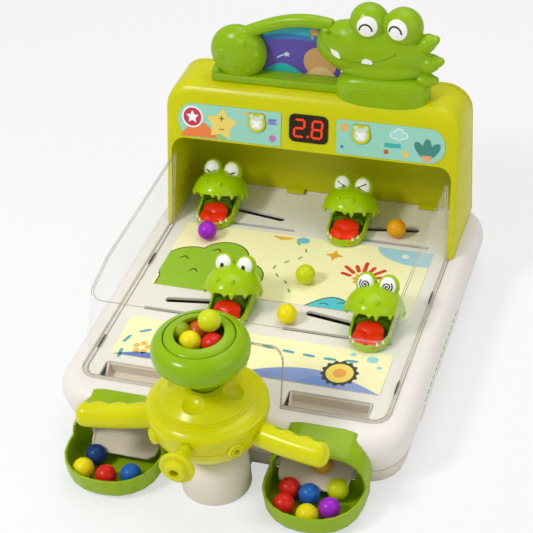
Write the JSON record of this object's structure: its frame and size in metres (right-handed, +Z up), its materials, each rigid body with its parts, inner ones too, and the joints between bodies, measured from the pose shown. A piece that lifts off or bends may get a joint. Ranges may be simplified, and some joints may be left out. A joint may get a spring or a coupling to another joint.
{
  "type": "tabletop pinball game",
  "caption": "Tabletop pinball game with sliding crocodile targets that nod, an arch with a score display, a clear guard, and a steerable ball shooter with a feed hopper",
  "frame": {"origin": "on the underside of the base tray, at the middle of its width and depth", "axes": "+Z up, the player stands at -Y, +X is the player's right; +Y runs from the shooter to the arch"},
  "size_m": [0.336, 0.4835, 0.301],
  "materials": {
    "ball_lime": "gloss",
    "ball_purple": "gloss",
    "bar_nylon": "matt",
    "board_green": "matt",
    "clear_plastic": "clear gloss",
    "cream_plastic": "satin",
    "display_dark": "gloss",
    "hopper_plastic": "gloss",
    "leaf_plastic": "gloss",
    "lime_plastic": "gloss",
    "motor_grey": "matt",
    "print_cream": "printed",
    "print_mint": "printed",
    "print_violet": "printed",
    "spring_steel": "bright",
    "tongue_plastic": "gloss",
    "turret_plastic": "gloss",
    "white_plastic": "satin"
  },
  "bodies": {
    "housing": {"base_tray": "cream_plastic", "battery_door": "cream_plastic", "base_shell": "white_plastic", "playfield_deck": "white_plastic", "front_mat": "print_cream", "rear_mat": "print_cream", "arch_front": "lime_plastic", "arch_back": "lime_plastic", "left_panel_sticker": "print_mint", "right_panel_sticker": "print_mint", "display_window": "display_dark", "display_board": "board_green", "crest_base": "leaf_plastic", "crest_tail": "leaf_plastic", "crest_head": "leaf_plastic", "crest_backdrop": "print_violet", "clear_guard": "clear_plastic", "pedestal": "cream_plastic", "feed_tube": "leaf_plastic", "hopper_bowl": "hopper_plastic", "hopper_ring": "lime_plastic", "left_pocket": "leaf_plastic", "right_pocket": "leaf_plastic", "left_chute": "white_plastic", "right_chute": "white_plastic", "drive_motor": "motor_grey", "field_ball_purple": "ball_purple", "field_ball_lime": "ball_lime", "hopper_ball": "ball_lime", "pocket_ball": "ball_purple"},
    "turret": {"turret_upper": "turret_plastic", "turret_lower": "turret_plastic", "barrel": "turret_plastic", "left_handle": "turret_plastic", "right_handle": "turret_plastic", "left_grip_insert": "leaf_plastic", "right_grip_insert": "leaf_plastic", "plunger_spring": "spring_steel"},
    "plunger": {"plunger": "spring_steel"},
    "left_button": {"left_button": "lime_plastic"},
    "right_button": {"right_button": "lime_plastic"},
    "power_switch": {"power_switch": "motor_grey"},
    "rear_row": {"rear_drive_bar": "bar_nylon", "croc_a_jaw": "leaf_plastic", "croc_a_tongue": "tongue_plastic", "croc_c_jaw": "leaf_plastic", "croc_c_tongue": "tongue_plastic"},
    "front_row": {"front_drive_bar": "bar_nylon", "croc_b_jaw": "leaf_plastic", "croc_b_tongue": "tongue_plastic", "croc_d_jaw": "leaf_plastic", "croc_d_tongue": "tongue_plastic"},
    "croc_a_head": {"croc_a_head": "leaf_plastic"},
    "croc_a_follower": {"croc_a_follower": "bar_nylon"},
    "croc_b_head": {"croc_b_head": "leaf_plastic"},
    "croc_b_follower": {"croc_b_follower": "bar_nylon"},
    "croc_c_head": {"croc_c_head": "leaf_plastic"},
    "croc_c_follower": {"croc_c_follower": "bar_nylon"},
    "croc_d_head": {"croc_d_head": "leaf_plastic"},
    "croc_d_follower": {"croc_d_follower": "bar_nylon"}
  },
  "joints": [
    {"name": "turret_yaw", "type": "hinge", "parent": "housing", "child": "turret", "pos_m": [0, -0.206, 0.08], "axis": [0, 0, 1], "range_deg": [-22, 22]},
    {"name": "plunger_pull", "type": "slide", "parent": "turret", "child": "plunger", "axis": [0, -1, 0], "range_m": [0, 0.018], "stiffness_N_per_m": 120, "springref_m": -0.004, "deforming": ["plunger_spring"]},
    {"name": "left_button_press", "type": "slide", "parent": "housing", "child": "left_button", "axis": [0, 0.9641, -0.2655], "range_m": [0, 0.002], "stiffness_N_per_m": 300, "springref_m": -0.0005},
    {"name": "right_button_press", "type": "slide", "parent": "housing", "child": "right_button", "axis": [0, 0.9641, -0.2655], "range_m": [0, 0.002], "stiffness_N_per_m": 300, "springref_m": -0.0005},
    {"name": "power_switch_slide", "type": "slide", "parent": "housing", "child": "power_switch", "axis": [1, 0, 0], "range_m": [0, 0.004]},
    {"name": "rear_row_slide", "type": "slide", "parent": "housing", "child": "rear_row", "axis": [1, 0, 0], "range_m": [0, 0.065]},
    {"name": "front_row_slide", "type": "slide", "parent": "housing", "child": "front_row", "axis": [-1, 0, 0], "range_m": [0, 0.065]},
    {"name": "croc_a_nod", "type": "hinge", "parent": "rear_row", "child": "croc_a_head", "pos_m": [-0.1025, 0.1275, 0.0753], "axis": [1, 0, 0], "range_deg": [0, 24.5]},
    {"name": "croc_a_follow", "type": "slide", "parent": "housing", "child": "croc_a_follower", "axis": [0.9884, -0.1521, 0], "range_m": [0, 0.06586]},
    {"name": "croc_b_nod", "type": "hinge", "parent": "front_row", "child": "croc_b_head", "pos_m": [-0.0375, -0.0245, 0.0753], "axis": [1, 0, 0], "range_deg": [0, 24.5]},
    {"name": "croc_b_follow", "type": "slide", "parent": "housing", "child": "croc_b_follower", "axis": [-0.9884, -0.1521, 0], "range_m": [0, 0.06586]},
    {"name": "croc_c_nod", "type": "hinge", "parent": "rear_row", "child": "croc_c_head", "pos_m": [0.0375, 0.1275, 0.0753], "axis": [1, 0, 0], "range_deg": [0, 24.5]},
    {"name": "croc_c_follow", "type": "slide", "parent": "housing", "child": "croc_c_follower", "axis": [0.9884, 0.1521, 0], "range_m": [0, 0.06586]},
    {"name": "croc_d_nod", "type": "hinge", "parent": "front_row", "child": "croc_d_head", "pos_m": [0.1025, -0.0245, 0.0753], "axis": [1, 0, 0], "range_deg": [0, 24.5]},
    {"name": "croc_d_follow", "type": "slide", "parent": "housing", "child": "croc_d_follower", "axis": [-0.9884, 0.1521, 0], "range_m": [0, 0.06586]}
  ],
  "couplings": [
    {"joint": "front_row_slide", "follows": "rear_row_slide", "ratio": 1},
    {"joint": "croc_a_nod", "follows": "rear_row_slide", "rad_per_m": 6.4443},
    {"joint": "croc_a_follow", "follows": "rear_row_slide", "ratio": 1.0118},
    {"joint": "croc_b_nod", "follows": "rear_row_slide", "rad_per_m": 6.4443},
    {"joint": "croc_b_follow", "follows": "rear_row_slide", "ratio": 1.0118},
    {"joint": "croc_c_nod", "follows": "rear_row_slide", "rad_per_m": 6.4443},
    {"joint": "croc_c_follow", "follows": "rear_row_slide", "ratio": 1.0118},
    {"joint": "croc_d_nod", "follows": "rear_row_slide", "rad_per_m": 6.4443},
    {"joint": "croc_d_follow", "follows": "rear_row_slide", "ratio": 1.0118}
  ]
}
